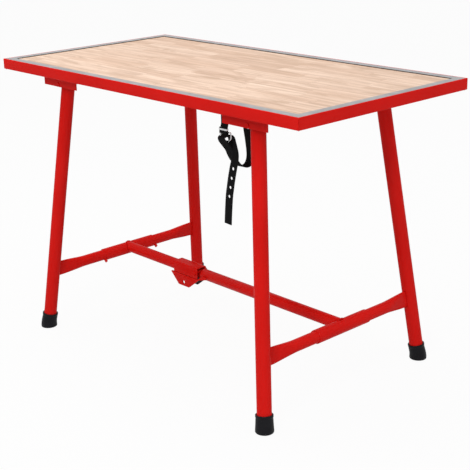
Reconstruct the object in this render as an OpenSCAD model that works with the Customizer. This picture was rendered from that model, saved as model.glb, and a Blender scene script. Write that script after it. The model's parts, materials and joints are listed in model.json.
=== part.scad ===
// Folding work bench: a wooden top in a steel rim, carried by two splayed leg
// trestles that fold under the top. A two-piece strut ties the trestles together.
// X runs along the bench, Y across it, Z up. The origin is on the floor, under the middle of the top.

/* [Top] */
// Length of the top, over the rim
top_l = 1200; // [1000:10:1500]
// Width of the top, over the rim
top_w = 610; // [560:10:800]
// Height of the bench, up to the steel strip on the wood
bench_h = 810; // [700:5:950]
// Height of the rim angle
rim_h = 29.5; // [24:0.5:40]
// Steel thickness of the rim angle
rim_t = 3; // [2:0.5:5]
// Width of the rim angle's lower flange
rim_flange = 30; // [20:1:40]
// Width of the steel strip round the edge of the wood
strip_w = 24; // [15:1:45]
// Thickness of the steel strip
strip_t = 3; // [2.5:0.5:5]
// Height by which the steel strip stands above the wood
strip_proud = 2; // [0:0.5:2]
// Gap between the wood and what surrounds it
wood_gap = 0.3; // [0.1:0.1:2]
// Width of the flat cross rail that carries a pair of hinges
rail_w = 80; // [60:1:120]

/* [Hinges] */
// Distance from the end of the top to the hinge axis
hinge_inset_x = 210; // [180:1:260]
// Distance from the side of the top to the middle of a hinge
hinge_inset_y = 80; // [70:1:110]
// Distance from the underside of the rim down to the hinge axis
hinge_drop = 27.5; // [27:0.5:40]
// Length of a hinge bracket
bracket_l = 156; // [120:1:180]
// Clear width between the walls of a bracket
bracket_gap = 66; // [62:1:80]
// Distance by which a bracket sits further in than its bolt
bracket_shift = 10; // [0:1:20]
// Steel thickness of a bracket
bracket_t = 3; // [2:0.5:5]
// Height of the bracket wall below the hinge axis
bracket_lip = 6.5; // [6:0.5:20]
// Diameter of the hinge bolt
bolt_d = 8; // [6:1:12]
// Outer diameter of the hinge barrel at the top of a leg
barrel_d = 17; // [14:1:32]
// Thickness of the washer between a barrel and a bracket wall
washer_t = 1.5; // [1:0.1:2.5]
// Radial clearance of everything that turns
running = 0.05; // [0.02:0.01:0.1]
// Play between faces that pass each other
side_play = 0.3; // [0.2:0.1:0.8]

/* [Legs] */
// Outer diameter of a leg tube
leg_d = 38; // [32:1:44]
// Wall of a leg tube
leg_wall = 2; // [1.5:0.5:4]
// Distance that a foot stands out along the bench from its hinge
splay_x = 85; // [40:1:110]
// Distance that a foot stands out across the bench from its hinge
splay_y = 77; // [30:1:90]

/* [Feet] */
// Height of a rubber foot
foot_h = 45; // [35:1:60]
// Thickness of the rubber under the leg
foot_sole = 14; // [10:1:20]
// Diameter of the lip at the top of a foot
foot_lip_d = 46; // [45:1:52]
// Diameter of a foot below its lip
foot_waist_d = 44; // [43:1:50]
// Diameter of a foot at the floor
foot_base_d = 48; // [46:1:56]

/* [Braces] */
// Height of the braces above the floor
brace_z = 183; // [150:1:260]
// Outer diameter of a brace tube and of a strut tube
tube_d = 32; // [26:1:36]
// Wall of a brace or strut tube
tube_wall = 2; // [1.5:0.5:3]
// Height of the flattened end of a brace
flat_h = 46; // [38:1:54]
// Thickness of the flattened end of a brace
flat_t = 8; // [6:1:12]
// Length of the flattened end of a brace, up to the leg axis
flat_l = 27; // [24:1:50]
// Length over which a brace turns from round to flat
flare_l = 80; // [40:1:100]
// Length of the sleeve that turns on a brace
sleeve_l = 195; // [120:1:240]
// Wall of a sleeve
sleeve_wall = 2.4; // [1.5:0.1:4]
// Thickness of the tab that stops a sleeve from sliding
tab_t = 4; // [3:0.5:6]
// Width of a stop tab
tab_w = 10; // [6:1:16]
// Height by which a stop tab stands out from the brace
tab_h = 10; // [8:1:18]

/* [Strut] */
// Height of the strut's middle above the middle of the braces
strut_rise = 5; // [0:0.5:7]
// Distance of the knee bolt from the middle of the bench
knee_offset = 109; // [60:1:160]
// Height of the knee bolt above the middle of the strut
knee_rise = 2; // [0:1:7]
// Diameter of the knee bolt
knee_bolt_d = 8; // [6:1:10]
// Length of the knee saddle
saddle_l = 106; // [90:1:130]
// Distance from the knee bolt to the open end of the saddle
saddle_end = 10; // [9:1:18]
// Steel thickness of the knee saddle
saddle_t = 2.5; // [2:0.5:4]
// Depth of the saddle walls below the middle of the strut
saddle_skirt = 15; // [13:0.5:16]
// Length by which the short tube reaches into the saddle
saddle_lap = 18; // [10:1:30]
// Thickness of the hook plate
hook_t = 8; // [5:1:12]
// Play between the hook plate and the knee bolt
hook_play = 0.5; // [0.3:0.1:1]
// Height of the hook's tip above the knee bolt's axis
hook_tip = 5; // [3:1:6]
// Distance from the knee bolt to the end of the long tube
hook_root = 22; // [18:1:30]
// Thickness of a knee cheek
cheek_t = 3; // [2:0.5:4]
// Depth of the knee cheeks below the middle of the strut
cheek_drop = 52; // [40:1:60]
// Gap between the top edge of a cheek and the saddle
cheek_gap = 1.5; // [1:0.5:6]
// Diameter of the hole in a cheek
cheek_hole_d = 10; // [6:1:12]

/* [Strap] */
// Width of the strap
strap_w = 25; // [18:1:30]
// Thickness of the strap
strap_t = 2.4; // [1.5:0.1:2.6]
// Distance from the hinge axis to the middle of the strap
strap_x = 83; // [81:0.5:84]
// Distance by which the buckle hangs in front of the strap's upper end
buckle_lean = 3; // [1:0.5:4]
// Distance between the front and the back strand of the strap
strap_depth = 79; // [76:1:95]
// Distance from the underside of the wood down to the buckle
buckle_drop = 80.5; // [76:0.5:90]
// Distance from the buckle down to the bottom of the strap's bight
bight_drop = 76; // [50:1:100]
// Distance by which the strap's tail hangs beside its bight
tail_side = 22; // [10:1:24]
// Distance from the buckle down to the tip of the strap's tail
tail_drop = 209; // [170:1:260]
// Diameter of the holes in the strap's tail
strap_hole_d = 8; // [4:0.5:10]
// Pitch of the holes in the strap's tail
strap_pitch = 23.5; // [16:0.5:28]
// Thickness of the buckle's bars
buckle_d = 3.6; // [3:0.2:4]
// Height of the buckle
buckle_h = 20; // [14:1:26]
// Distance from the underside of the wood down to the keeper on the strap
keeper_drop = 51.5; // [50:0.5:52]
// Diameter of a screw
screw_d = 4; // [3:0.5:5]
// Diameter of a screw head
screw_head_d = 9; // [7:0.5:12]

/* [Hidden] */
$fn = 64;

paint = "firebrick";
steel = "silver";
black = "#202020";
timber = "burlywood";

// Sides of the bench: left and right along X, front and back along Y
left = -1;
right = 1;
front = -1;
back = 1;

// Gap between pieces that lie against each other
slip = 0.2;

// Levels of the top
rim_base = bench_h - rim_h;
wood_base = rim_base + rim_t;
wood_t = bench_h - strip_proud - wood_base;
flange_edge_y = top_w / 2 - rim_flange;
rail_l = 2 * flange_edge_y;

// Hinge axes and the line of a leg
hinge_x = top_l / 2 - hinge_inset_x;
hinge_y = top_w / 2 - hinge_inset_y;
hinge_z = rim_base - hinge_drop;
foot_x = hinge_x + splay_x;
foot_y = hinge_y + splay_y;
leg_len = norm([splay_x, splay_y, hinge_z]);
leg_lean = acos(hinge_z / leg_len);
leg_top = leg_len - 0.4 * barrel_d;
bracket_w = bracket_gap + 2 * bracket_t;
bracket_h = hinge_drop + bracket_lip;
barrel_l = bracket_gap - 2 * washer_t - 2 * side_play;
bolt_head_h = 0.3 * bolt_d;
bolt_head_d = 1.5 * bolt_d;
nut_h = 0.8 * bolt_d;
nut_d = 1.85 * bolt_d;
bolt_end = 3;
bracket_roof = rim_base - bracket_t;

// Braces
brace_x = hinge_x + splay_x * (hinge_z - brace_z) / hinge_z;
brace_leg_y = hinge_y + splay_y * (hinge_z - brace_z) / hinge_z;
flat_y = brace_leg_y - flat_l;
flare_y = flat_y - flare_l;
lean_x = atan(splay_x / hinge_z);
sleeve_d = tube_d + 2 * running + 2 * sleeve_wall;
tab_turn = 45;
strut_z = brace_z + strut_rise;

// Knee
knee_x = -knee_offset;
knee_z = strut_z + knee_rise;
saddle_gap = tube_d + slip;
saddle_x1 = knee_x + saddle_end;
saddle_x0 = saddle_x1 - saddle_l;
saddle_roof = strut_z + saddle_gap / 2;
short_end_x = saddle_x0 + saddle_lap;
long_end_x = knee_x + hook_root;
knee_head_h = 0.6 * knee_bolt_d;
knee_head_d = 1.8 * knee_bolt_d;
knee_nut_h = 1.3 * knee_head_h;
cap_t = 4;

// Strap: it hangs inside the end of the front right bracket, in a plane across the bench
strap_mid_x = hinge_x - strap_x;
strap_wall_y = strap_t / 2 + side_play - hinge_y - bracket_gap / 2;
strap_front_y = strap_wall_y - buckle_lean;
strap_back_y = strap_front_y + strap_depth;
buckle_z = wood_base - buckle_drop;
bight_z = buckle_z - bight_drop;
tail_z = buckle_z - tail_drop;
lip_z = hinge_z - bracket_lip;
screw_l = 14;
screw_head_h = 2.5;
seat = (strap_t + slip) / 2;
strap_lap = 1.08 * strap_w;
strap_screw_y = [strap_wall_y + 0.64 * strap_w, strap_back_y + 0.56 * strap_w];

function foot_pos(sx, sy) = [sx * foot_x, sy * foot_y, 0];
function hinge_pos(sx, sy) = [sx * hinge_x, sy * hinge_y, hinge_z];

// Outline of a strip of the given thickness along a list of points
function unit(v) = v / norm(v);
function heading(pts, i) = unit(pts[min(i + 1, len(pts) - 1)] - pts[max(i - 1, 0)]);
function beside(pts, i, d) = pts[i] + d * [-heading(pts, i)[1], heading(pts, i)[0]];
function ribbon(pts, t) = concat(
    [for (i = [0:len(pts) - 1]) beside(pts, i, t / 2)],
    [for (i = [len(pts) - 1:-1:0]) beside(pts, i, -t / 2)]);

// Basic shapes

module tube(d, wall, h) {
    difference() {
        cylinder(d = d, h = h);
        translate([0, 0, -1]) cylinder(d = d - 2 * wall, h = h + 2);
    }
}

module hex(d, h) {
    cylinder(d = d, h = h, $fn = 6);
}

// Places its children with +Z along +Y
module along_y() {
    rotate([-90, 0, 0]) children();
}

// Places its children with +Z along +X
module along_x() {
    rotate([0, 90, 0]) children();
}

// Places its children at a foot, with +Z up the leg
module along_leg(sx, sy) {
    translate(foot_pos(sx, sy))
        rotate([0, leg_lean, atan2(-sy * splay_y, -sx * splay_x)])
            children();
}

module at_hinges(sx) {
    for (sy = [front, back]) translate(hinge_pos(sx, sy)) children();
}

// Top

module rim_profile() {
    square([rim_t, rim_h]);
    square([rim_flange, rim_t]);
}

module rim_place(turn, reach) {
    rotate([0, 0, turn]) translate([0, -reach / 2, rim_base]) children();
}

module rim_bar_drilled(turn, len, reach) {
    color(paint) difference() {
        rim_place(turn, reach) mitred(len) rim_section(len);
        screw_holes();
    }
}

module rim_section(len) {
    translate([-len / 2, 0, 0]) rotate([90, 0, 90]) linear_extrude(len) rim_profile();
}

// Cuts a bar that lies along X at 45 degrees, from the corners of its outer face inwards
module mitred(len) {
    intersection() {
        children();
        translate([0, 0, -rim_h]) linear_extrude(3 * rim_h)
            polygon([[-len / 2, 0], [len / 2, 0],
                [(len - top_w) / 2, top_w / 2], [(top_w - len) / 2, top_w / 2]]);
    }
}

module rim_front() rim_bar_drilled(0, top_l, top_w);
module rim_back() rim_bar_drilled(180, top_l, top_w);
module rim_right() rim_bar_drilled(90, top_w, top_l);
module rim_left() rim_bar_drilled(-90, top_w, top_l);

// Screws from below hold the wood to the flange
screw_y = top_w / 2 - rim_flange / 2 - rim_t / 2;
screw_x = top_l / 2 - rim_flange / 2 - rim_t / 2;
screw_spots = concat(
    [for (x = [-0.4, 0, 0.4], s = [front, back]) [x * top_l, s * screw_y]],
    [for (s = [left, right]) [s * screw_x, 0]]);

module screw_holes() {
    for (p = screw_spots) translate([p[0], p[1], rim_base - 1])
        cylinder(d = screw_d + 2 * running, h = screw_l + 1 + running);
}

module screw() {
    cylinder(d = screw_d, h = screw_l);
    translate([0, 0, -screw_head_h])
        cylinder(d1 = 0.6 * screw_head_d, d2 = screw_head_d, h = screw_head_h);
}

module top_screws() {
    color(steel) for (p = screw_spots) translate([p[0], p[1], rim_base]) screw();
}

module wood_top() {
    l = top_l - 2 * rim_t - 2 * wood_gap;
    w = top_w - 2 * rim_t - 2 * wood_gap;
    color(timber) difference() {
        translate([-l / 2, -w / 2, wood_base]) cube([l, w, wood_t]);
        translate([0, 0, bench_h - strip_t]) difference() {
            translate([-l, -w, 0]) cube([2 * l, 2 * w, strip_t]);
            translate([strip_w - l / 2, strip_w - w / 2, -1])
                cube([l - 2 * strip_w, w - 2 * strip_w, strip_t + 2]);
        }
        screw_holes();
        strap_screw_holes();
    }
}

// Edge strip: lies in a step round the wood and stands above it, mitred at the corners
module edge_strip(turn, len, reach) {
    l = len - 2 * rim_t - 2 * wood_gap;
    w = strip_w - wood_gap;
    color(steel) rotate([0, 0, turn])
        translate([0, rim_t + wood_gap - reach / 2, bench_h - strip_t]) linear_extrude(strip_t)
            polygon([[-l / 2, 0], [l / 2, 0], [l / 2 - w, w], [w - l / 2, w]]);
}

module edge_strip_front() edge_strip(0, top_l, top_w);
module edge_strip_back() edge_strip(180, top_l, top_w);
module edge_strip_right() edge_strip(90, top_w, top_l);
module edge_strip_left() edge_strip(-90, top_w, top_l);

module cross_rail(sx) {
    color(paint) translate([sx * hinge_x - rail_w / 2, -rail_l / 2, rim_base]) cube([rail_w, rail_l, rim_t]);
}

module cross_rail_left() cross_rail(left);
module cross_rail_right() cross_rail(right);

// Hinges

module bracket(sx, sy) {
    color(paint) difference() {
        translate(hinge_pos(sx, sy)) difference() {
            translate([-bracket_l / 2 - sx * bracket_shift, -bracket_w / 2, -bracket_lip])
                cube([bracket_l, bracket_w, bracket_h]);
            translate([-bracket_l, -bracket_gap / 2, -2 * bracket_lip])
                cube([2 * bracket_l, bracket_gap, bracket_h + bracket_lip - bracket_t]);
            along_y() cylinder(d = bolt_d + 2 * running, h = 2 * bracket_w, center = true);
        }
        strap_screw_holes();
    }
}

module bracket_front_left() bracket(left, front);
module bracket_back_left() bracket(left, back);
module bracket_front_right() bracket(right, front);
module bracket_back_right() bracket(right, back);

// A bolt's head is on the outer side of the bench, its nut on the inner side
module outward(sy) {
    rotate([0, 0, sy == front ? 0 : 180]) children();
}

module hinge_bolt() {
    translate([0, -bracket_w / 2 - bolt_head_h, 0]) along_y() cylinder(d = bolt_head_d, h = bolt_head_h);
    translate([0, -bracket_w / 2, 0]) along_y() cylinder(d = bolt_d, h = bracket_w + nut_h + bolt_end);
}

module hinge_nut() {
    translate([0, bracket_w / 2, 0]) along_y() difference() {
        hex(nut_d, nut_h);
        translate([0, 0, -1]) cylinder(d = bolt_d + 2 * running, h = nut_h + 2);
    }
}

module hinge_washer_pair() {
    for (s = [front, back])
        translate([0, s * (bracket_gap / 2 - washer_t / 2), 0]) along_y() difference() {
            cylinder(d = 2 * bolt_d, h = washer_t, center = true);
            cylinder(d = bolt_d + 2 * running, h = 2 * washer_t, center = true);
        }
}

module at_all_hinges() {
    for (sx = [left, right], sy = [front, back])
        translate(hinge_pos(sx, sy)) outward(sy) children();
}

module hinge_bolts() { color(paint) at_all_hinges() hinge_bolt(); }
module hinge_nuts() { color(steel) at_all_hinges() hinge_nut(); }
module hinge_washers() { color(steel) at_all_hinges() hinge_washer_pair(); }

// Trestles

module leg(sx, sy) {
    color(paint) difference() {
        along_leg(sx, sy) translate([0, 0, foot_sole]) tube(leg_d, leg_wall, leg_top - foot_sole);
        translate(hinge_pos(sx, sy)) along_y() cylinder(d = barrel_d, h = 2 * bracket_gap, center = true);
    }
}

module leg_front_left() leg(left, front);
module leg_back_left() leg(left, back);
module leg_front_right() leg(right, front);
module leg_back_right() leg(right, back);

module barrels(sx) {
    color(paint) at_hinges(sx) along_y() difference() {
        cylinder(d = barrel_d, h = barrel_l, center = true);
        cylinder(d = bolt_d + 2 * running, h = 2 * barrel_l, center = true);
    }
}

module barrels_left() barrels(left);
module barrels_right() barrels(right);

// Rubber foot: a cup on the end of the leg, with a level sole and a lip round its mouth
module foot(sx, sy) {
    lip = 7;
    edge = 8;
    color(black) difference() {
        union() {
            hull() {
                translate(foot_pos(sx, sy)) cylinder(d = foot_base_d, h = edge, $fn = 32);
                along_leg(sx, sy) translate([0, 0, foot_h - lip]) cylinder(d = foot_waist_d, h = 1, $fn = 32);
            }
            along_leg(sx, sy) translate([0, 0, foot_h - lip]) cylinder(d = foot_lip_d, h = lip);
        }
        along_leg(sx, sy) translate([0, 0, foot_sole]) cylinder(d = leg_d, h = foot_h);
    }
}

module foot_front_left() foot(left, front);
module foot_back_left() foot(left, back);
module foot_front_right() foot(right, front);
module foot_back_right() foot(right, back);

// Flattened end of a brace, from inside the round tube to the leg
module brace_end(sx, sy) {
    thin = 0.5;
    lap = 4;
    hull() {
        translate([0, sy * (flare_y - lap), 0]) along_y()
            cylinder(d = tube_d - tube_wall, h = thin, center = true, $fn = 32);
        translate([0, sy * flat_y, 0]) rotate([0, -sx * lean_x, 0])
            cube([flat_t, thin, flat_h], center = true);
    }
    translate([0, sy * (flat_y + (flat_l - lap) / 2), 0]) rotate([0, -sx * lean_x, 0])
        cube([flat_t - thin, flat_l + lap, flat_h - thin], center = true);
}

module brace(sx) {
    color(paint) difference() {
        translate([sx * brace_x, 0, brace_z]) {
            translate([0, -flare_y, 0]) along_y() tube(tube_d, tube_wall, 2 * flare_y);
            for (sy = [front, back]) brace_end(sx, sy);
        }
        for (sy = [front, back]) along_leg(sx, sy) cylinder(d = leg_d, h = leg_len);
    }
}

module brace_left() brace(left);
module brace_right() brace(right);

// Tabs at the ends of a sleeve, which point down and towards the middle of the bench
module stop_tabs(sx) {
    tab_root = tube_d / 4;
    tab_tip = tube_d / 2 + tab_h;
    color(paint) for (sy = [front, back])
        translate([sx * brace_x, sy * (sleeve_l / 2 + side_play + tab_t / 2), brace_z]) difference() {
            rotate([0, sx * tab_turn, 0]) translate([0, 0, -(tab_root + tab_tip) / 2])
                cube([tab_w, tab_t, tab_tip - tab_root], center = true);
            along_y() cylinder(d = tube_d, h = 2 * tab_t, center = true);
        }
}

module stop_tabs_left() stop_tabs(left);
module stop_tabs_right() stop_tabs(right);

// Strut

module sleeve(sx) {
    color(paint) translate([sx * brace_x, 0, brace_z]) along_y() difference() {
        cylinder(d = sleeve_d, h = sleeve_l, center = true);
        cylinder(d = tube_d + 2 * running, h = 2 * sleeve_l, center = true);
    }
}

module short_sleeve() sleeve(left);
module long_sleeve() sleeve(right);

module short_tube() {
    color(paint) difference() {
        translate([-brace_x, 0, strut_z]) along_x() tube(tube_d, tube_wall, brace_x + short_end_x);
        translate([-brace_x, 0, brace_z]) along_y() cylinder(d = sleeve_d, h = sleeve_l, center = true);
    }
}

module long_tube() {
    color(paint) difference() {
        union() {
            translate([long_end_x, 0, strut_z]) along_x() tube(tube_d, tube_wall, brace_x - long_end_x);
            translate([long_end_x, 0, strut_z]) along_x() cylinder(d = tube_d, h = cap_t);
        }
        translate([brace_x, 0, brace_z]) along_y() cylinder(d = sleeve_d, h = sleeve_l, center = true);
    }
}

// Section of the saddle: a channel that is open below, with rounded upper corners
module saddle_section() {
    bend = 2 * saddle_t;
    w = saddle_gap + 2 * saddle_t;
    roof = saddle_roof + saddle_t - strut_z;
    difference() {
        union() {
            translate([-w / 2, -saddle_skirt]) square([w, saddle_skirt + roof - bend]);
            translate([bend - w / 2, 0]) square([w - 2 * bend, roof]);
            for (s = [-1, 1]) translate([s * (w / 2 - bend), roof - bend]) circle(bend);
        }
        translate([-saddle_gap / 2, -2 * saddle_skirt])
            square([saddle_gap, 2 * saddle_skirt + roof - saddle_t]);
    }
}

module knee_saddle() {
    color(paint) difference() {
        translate([saddle_x0, 0, strut_z]) rotate([90, 0, 90]) linear_extrude(saddle_l) saddle_section();
        translate([knee_x, 0, knee_z]) along_y()
            cylinder(d = knee_bolt_d + 2 * running, h = 3 * tube_d, center = true);
    }
}

module knee_bolt() {
    w = saddle_gap + 2 * saddle_t;
    color(paint) translate([knee_x, 0, knee_z]) {
        translate([0, -w / 2 - knee_head_h, 0]) along_y() hex(knee_head_d, knee_head_h);
        translate([0, -w / 2, 0]) along_y() cylinder(d = knee_bolt_d, h = w + knee_nut_h + bolt_end);
    }
}

module knee_nut() {
    w = saddle_gap + 2 * saddle_t;
    color(black) translate([knee_x, w / 2, knee_z]) along_y() difference() {
        hex(knee_head_d, knee_nut_h);
        translate([0, 0, -1]) cylinder(d = knee_bolt_d + 2 * running, h = knee_nut_h + 2);
    }
}

// Stands an outline in X and Z up across the strut, from y to y + t
module plate(outline, y, t) {
    translate([0, y + t, 0]) rotate([90, 0, 0]) linear_extrude(t) polygon(outline);
}

// Hook plate: its arm passes under the knee bolt and its tip stands up behind it
module hook_plate() {
    bolt_r = knee_bolt_d / 2 + hook_play;
    tip_w = 13;
    bevel = 3;
    arm_top = knee_z - bolt_r;
    arm_base = strut_z - tube_d / 2;
    tip_x = knee_x - bolt_r;
    color(paint) plate([[long_end_x, arm_base], [long_end_x, arm_top], [tip_x, arm_top],
        [tip_x, knee_z + hook_tip], [tip_x - tip_w, knee_z + hook_tip], [tip_x - tip_w, arm_base + bevel],
        [tip_x - tip_w + bevel, arm_base]], -hook_t / 2, hook_t);
}

// Knee cheeks: five-sided plates on both sides of the long tube's end, which reach back below the saddle
module knee_cheeks() {
    toe = 15;
    base_start = 21;
    base_end = 67;
    heel = 14;
    heel_lap = 8;
    hole_rise = 12;
    top_z = strut_z - saddle_skirt - cheek_gap;
    base_z = strut_z - cheek_drop;
    heel_x = long_end_x + heel;
    outline = [[saddle_x0 - toe, top_z], [saddle_x0 + base_start, base_z], [saddle_x0 + base_end, base_z],
        [saddle_x1 + heel_lap, top_z], [heel_x + heel, strut_z - heel_lap], [heel_x + heel, strut_z],
        [heel_x, strut_z], [saddle_x1 + side_play, top_z]];
    color(paint) for (s = [front, back]) difference() {
        plate(outline, s * (tube_d + cheek_t + slip) / 2 - cheek_t / 2, cheek_t);
        translate([saddle_x0 + (base_start + base_end) / 2, 0, base_z + hole_rise]) along_y()
            cylinder(d = cheek_hole_d, h = 3 * tube_d, center = true);
    }
}

// Strap

// Extrudes an outline in Y and Z across the width of the strap
module strap_sheet(outline, w) {
    translate([strap_mid_x - w / 2, 0, 0]) rotate([90, 0, 90]) linear_extrude(w) polygon(outline);
}

// The short strap is screwed under the bracket, runs down inside its wall and ends at the buckle
strap_short_route = [
    [strap_wall_y + strap_lap, bracket_roof - seat], [strap_wall_y + 2 * strap_t, bracket_roof - seat],
    [strap_wall_y + strap_t, bracket_roof - seat - strap_t / 3],
    [strap_wall_y, bracket_roof - seat - 2 * strap_t],
    [strap_wall_y, lip_z], [strap_front_y, lip_z - 2 * buckle_lean],
    [strap_front_y, buckle_z + buckle_h + buckle_d / 2 + slip]];

// Points of the bight, as shares of its depth and drop, and of the turn, as shares of the buckle's height
function bight(u, v) = [strap_back_y - u * strap_depth, bight_z + v * bight_drop];
function turn(u, v) = [strap_front_y + u * buckle_h, buckle_z + v * buckle_h];

// The long strap hangs in a bight behind the buckle, rises in front of it and turns back through it
strap_long_route = [
    [strap_back_y + strap_lap, wood_base - seat], [strap_back_y + 3 * strap_t, wood_base - seat],
    [strap_back_y + strap_t, wood_base - seat - strap_t], [strap_back_y, wood_base - seat - 3 * strap_t],
    bight(0.05, 1.25), bight(-0.025, 0.83), bight(-0.063, 0.474), bight(-0.057, 0.237), bight(0.006, 0.066),
    bight(0.133, 0), bight(0.285, 0.013), bight(0.443, 0.132), bight(0.646, 0.329), bight(0.873, 0.737),
    turn(-0.15, -0.15), turn(-0.45, 0.3), turn(-0.4, 0.6), turn(-0.125, 0.775), turn(0.225, 0.815),
    turn(0.575, 0.75), turn(0.825, 0.5), turn(0.95, 0.15)];

// The tail leaves the turn sideways, passes beside the bight and hangs down to its tip
tail_start = concat([strap_mid_x + strap_w / 6], turn(0.85, 0.45));
tail_bend = concat([strap_mid_x + tail_side], bight(0.911, 0.171));
tail_tip = [strap_mid_x + strap_w / 5, strap_front_y + strap_t / 2, tail_z];

// A straight run of strap between two points, with its width across the run
module strap_run(low, high) {
    v = high - low;
    translate(low) rotate([asin(-v[1] / norm(v)), atan2(v[0], v[2]), 0]) difference() {
        translate([-strap_w / 2, -strap_t / 2, 0]) cube([strap_w, strap_t, norm(v)]);
        children();
    }
}

module strap_screw_holes() {
    translate([strap_mid_x, strap_screw_y[0], bracket_roof - 2 * strap_t])
        cylinder(d = screw_d + 2 * running, h = 2 * strap_t + screw_l);
    translate([strap_mid_x, strap_screw_y[1], wood_base - 2 * strap_t])
        cylinder(d = screw_d + 2 * running, h = 2 * strap_t + screw_l);
}

module strap_short() {
    color(black) difference() {
        strap_sheet(ribbon(strap_short_route, strap_t), strap_w);
        strap_screw_holes();
    }
}

module strap_long() {
    first_hole = 3.05 * strap_pitch;
    color(black) {
        difference() {
            strap_sheet(ribbon(strap_long_route, strap_t), strap_w);
            strap_screw_holes();
        }
        strap_run(tail_bend, tail_start);
        strap_run(tail_tip, tail_bend)
            for (i = [0:3]) translate([0, 0, first_hole + i * strap_pitch])
                along_y() cylinder(d = strap_hole_d, h = 5 * strap_t, center = true);
    }
}

// Buckle: a square-edged steel loop
module strap_buckle() {
    w = strap_w + 1;
    color(steel) translate([strap_mid_x, strap_front_y + buckle_d / 2, buckle_z + buckle_h / 2])
        rotate([90, 0, 0]) linear_extrude(buckle_d) difference() {
            square([w + 2 * buckle_d, buckle_h + buckle_d], center = true);
            square([w, buckle_h - buckle_d], center = true);
        }
}

// Keeper: a flat ring of sheet steel round the short strap
module strap_keeper() {
    sheet = 0.8;
    h = 5;
    color(steel) translate([strap_mid_x, strap_front_y, wood_base - keeper_drop]) difference() {
        cube([strap_w + 3, strap_t + 2 * sheet + 2 * slip, h], center = true);
        cube([strap_w + 2 * slip, strap_t + 2 * slip, 2 * h], center = true);
    }
}

module strap_screws() {
    under = strap_t + slip;
    color(steel) {
        translate([strap_mid_x, strap_screw_y[0], bracket_roof - under]) screw();
        translate([strap_mid_x, strap_screw_y[1], wood_base - under]) screw();
    }
}

wood_top();
rim_front();
rim_back();
rim_left();
rim_right();
edge_strip_front();
edge_strip_back();
edge_strip_left();
edge_strip_right();
cross_rail_left();
cross_rail_right();
bracket_front_left();
bracket_back_left();
bracket_front_right();
bracket_back_right();
hinge_bolts();
hinge_nuts();
hinge_washers();
top_screws();
strap_short();
strap_long();
strap_buckle();
strap_keeper();
strap_screws();
leg_front_left();
leg_back_left();
barrels_left();
brace_left();
stop_tabs_left();
foot_front_left();
foot_back_left();
leg_front_right();
leg_back_right();
barrels_right();
brace_right();
stop_tabs_right();
foot_front_right();
foot_back_right();
short_sleeve();
short_tube();
knee_saddle();
knee_bolt();
knee_nut();
long_sleeve();
long_tube();
hook_plate();
knee_cheeks();
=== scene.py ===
import json
import math
import random

import bmesh
import bpy
from mathutils import Matrix, Vector


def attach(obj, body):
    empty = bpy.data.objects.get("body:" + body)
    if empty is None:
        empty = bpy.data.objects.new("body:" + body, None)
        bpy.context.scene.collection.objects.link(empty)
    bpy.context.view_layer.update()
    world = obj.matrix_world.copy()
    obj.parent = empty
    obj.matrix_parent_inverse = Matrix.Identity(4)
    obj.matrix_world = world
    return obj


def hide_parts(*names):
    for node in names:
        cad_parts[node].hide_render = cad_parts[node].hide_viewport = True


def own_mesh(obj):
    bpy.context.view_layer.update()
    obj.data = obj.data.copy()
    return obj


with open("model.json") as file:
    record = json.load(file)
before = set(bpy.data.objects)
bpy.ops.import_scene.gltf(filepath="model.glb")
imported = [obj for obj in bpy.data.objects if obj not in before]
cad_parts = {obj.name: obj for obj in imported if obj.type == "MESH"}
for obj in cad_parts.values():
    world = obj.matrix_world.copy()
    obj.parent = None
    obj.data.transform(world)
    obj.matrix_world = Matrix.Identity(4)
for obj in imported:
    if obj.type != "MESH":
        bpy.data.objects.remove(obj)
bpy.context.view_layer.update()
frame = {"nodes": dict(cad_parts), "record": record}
random.seed(7)

# Sizes in metres, as in the CAD: x runs along the top, y across it to the back, z up from the floor
SIDES = {"left": -1, "right": 1}
ENDS = {"front": -1, "back": 1}
Y_AXIS = Vector((0, 1, 0))
Z_AXIS = Vector((0, 0, 1))

# Top: red rim of angle steel, with a dark line of painted shade between the strips and the wood
TOP_L = 1.200
TOP_W = 0.610
TOP_H = 0.810
RIM_H = 0.0295
RIM_THICK = 0.003
RIM_FLANGE = 0.030
RIM_Z = TOP_H - RIM_H
# the dark line of painted shade in the step between the strips and the wood
SHADE_LINE_INSET = 0.027
SHADE_LINE_W = 0.0007
SHADE_LINE_LOW = TOP_H - 0.0019
SHADE_LINE_HIGH = TOP_H - 0.0004

# Trestles: hinge axis, foot centre, leg and brace
HINGE_X, HINGE_Y, HINGE_Z = 0.390, 0.225, 0.753
FOOT_X, FOOT_Y = 0.475, 0.302
LEG_R = 0.019
LEG_WALL = 0.002
LEG_SEAT = 0.014  # the tube starts this far up, inside its foot
LEG_TOP_GAP = 0.007  # and ends this far below the hinge axis
BRACE_Z = 0.183
DROP = (HINGE_Z - BRACE_Z) / HINGE_Z  # how far down the legs the braces sit
BRACE_X = HINGE_X + (FOOT_X - HINGE_X) * DROP
BRACE_Y = HINGE_Y + (FOOT_Y - HINGE_Y) * DROP
LEAN = math.atan((FOOT_X - HINGE_X) / HINGE_Z)
TUBE_R = 0.016
FLAT_Y = BRACE_Y - 0.027  # the brace is flat from here to the leg
FLARE_L = 0.080  # and goes from round to flat over this length
FLAT_HALF_H = 0.023
FLAT_HALF_T = 0.004

# Hinge brackets
BRACKET_HALF_L = 0.078
BRACKET_HALF_W = 0.036
BRACKET_THICK = 0.003
BRACKET_LIP = 0.0065  # below the hinge axis
BRACKET_SHIFT = 0.010  # from the hinge towards the middle of the top

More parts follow.
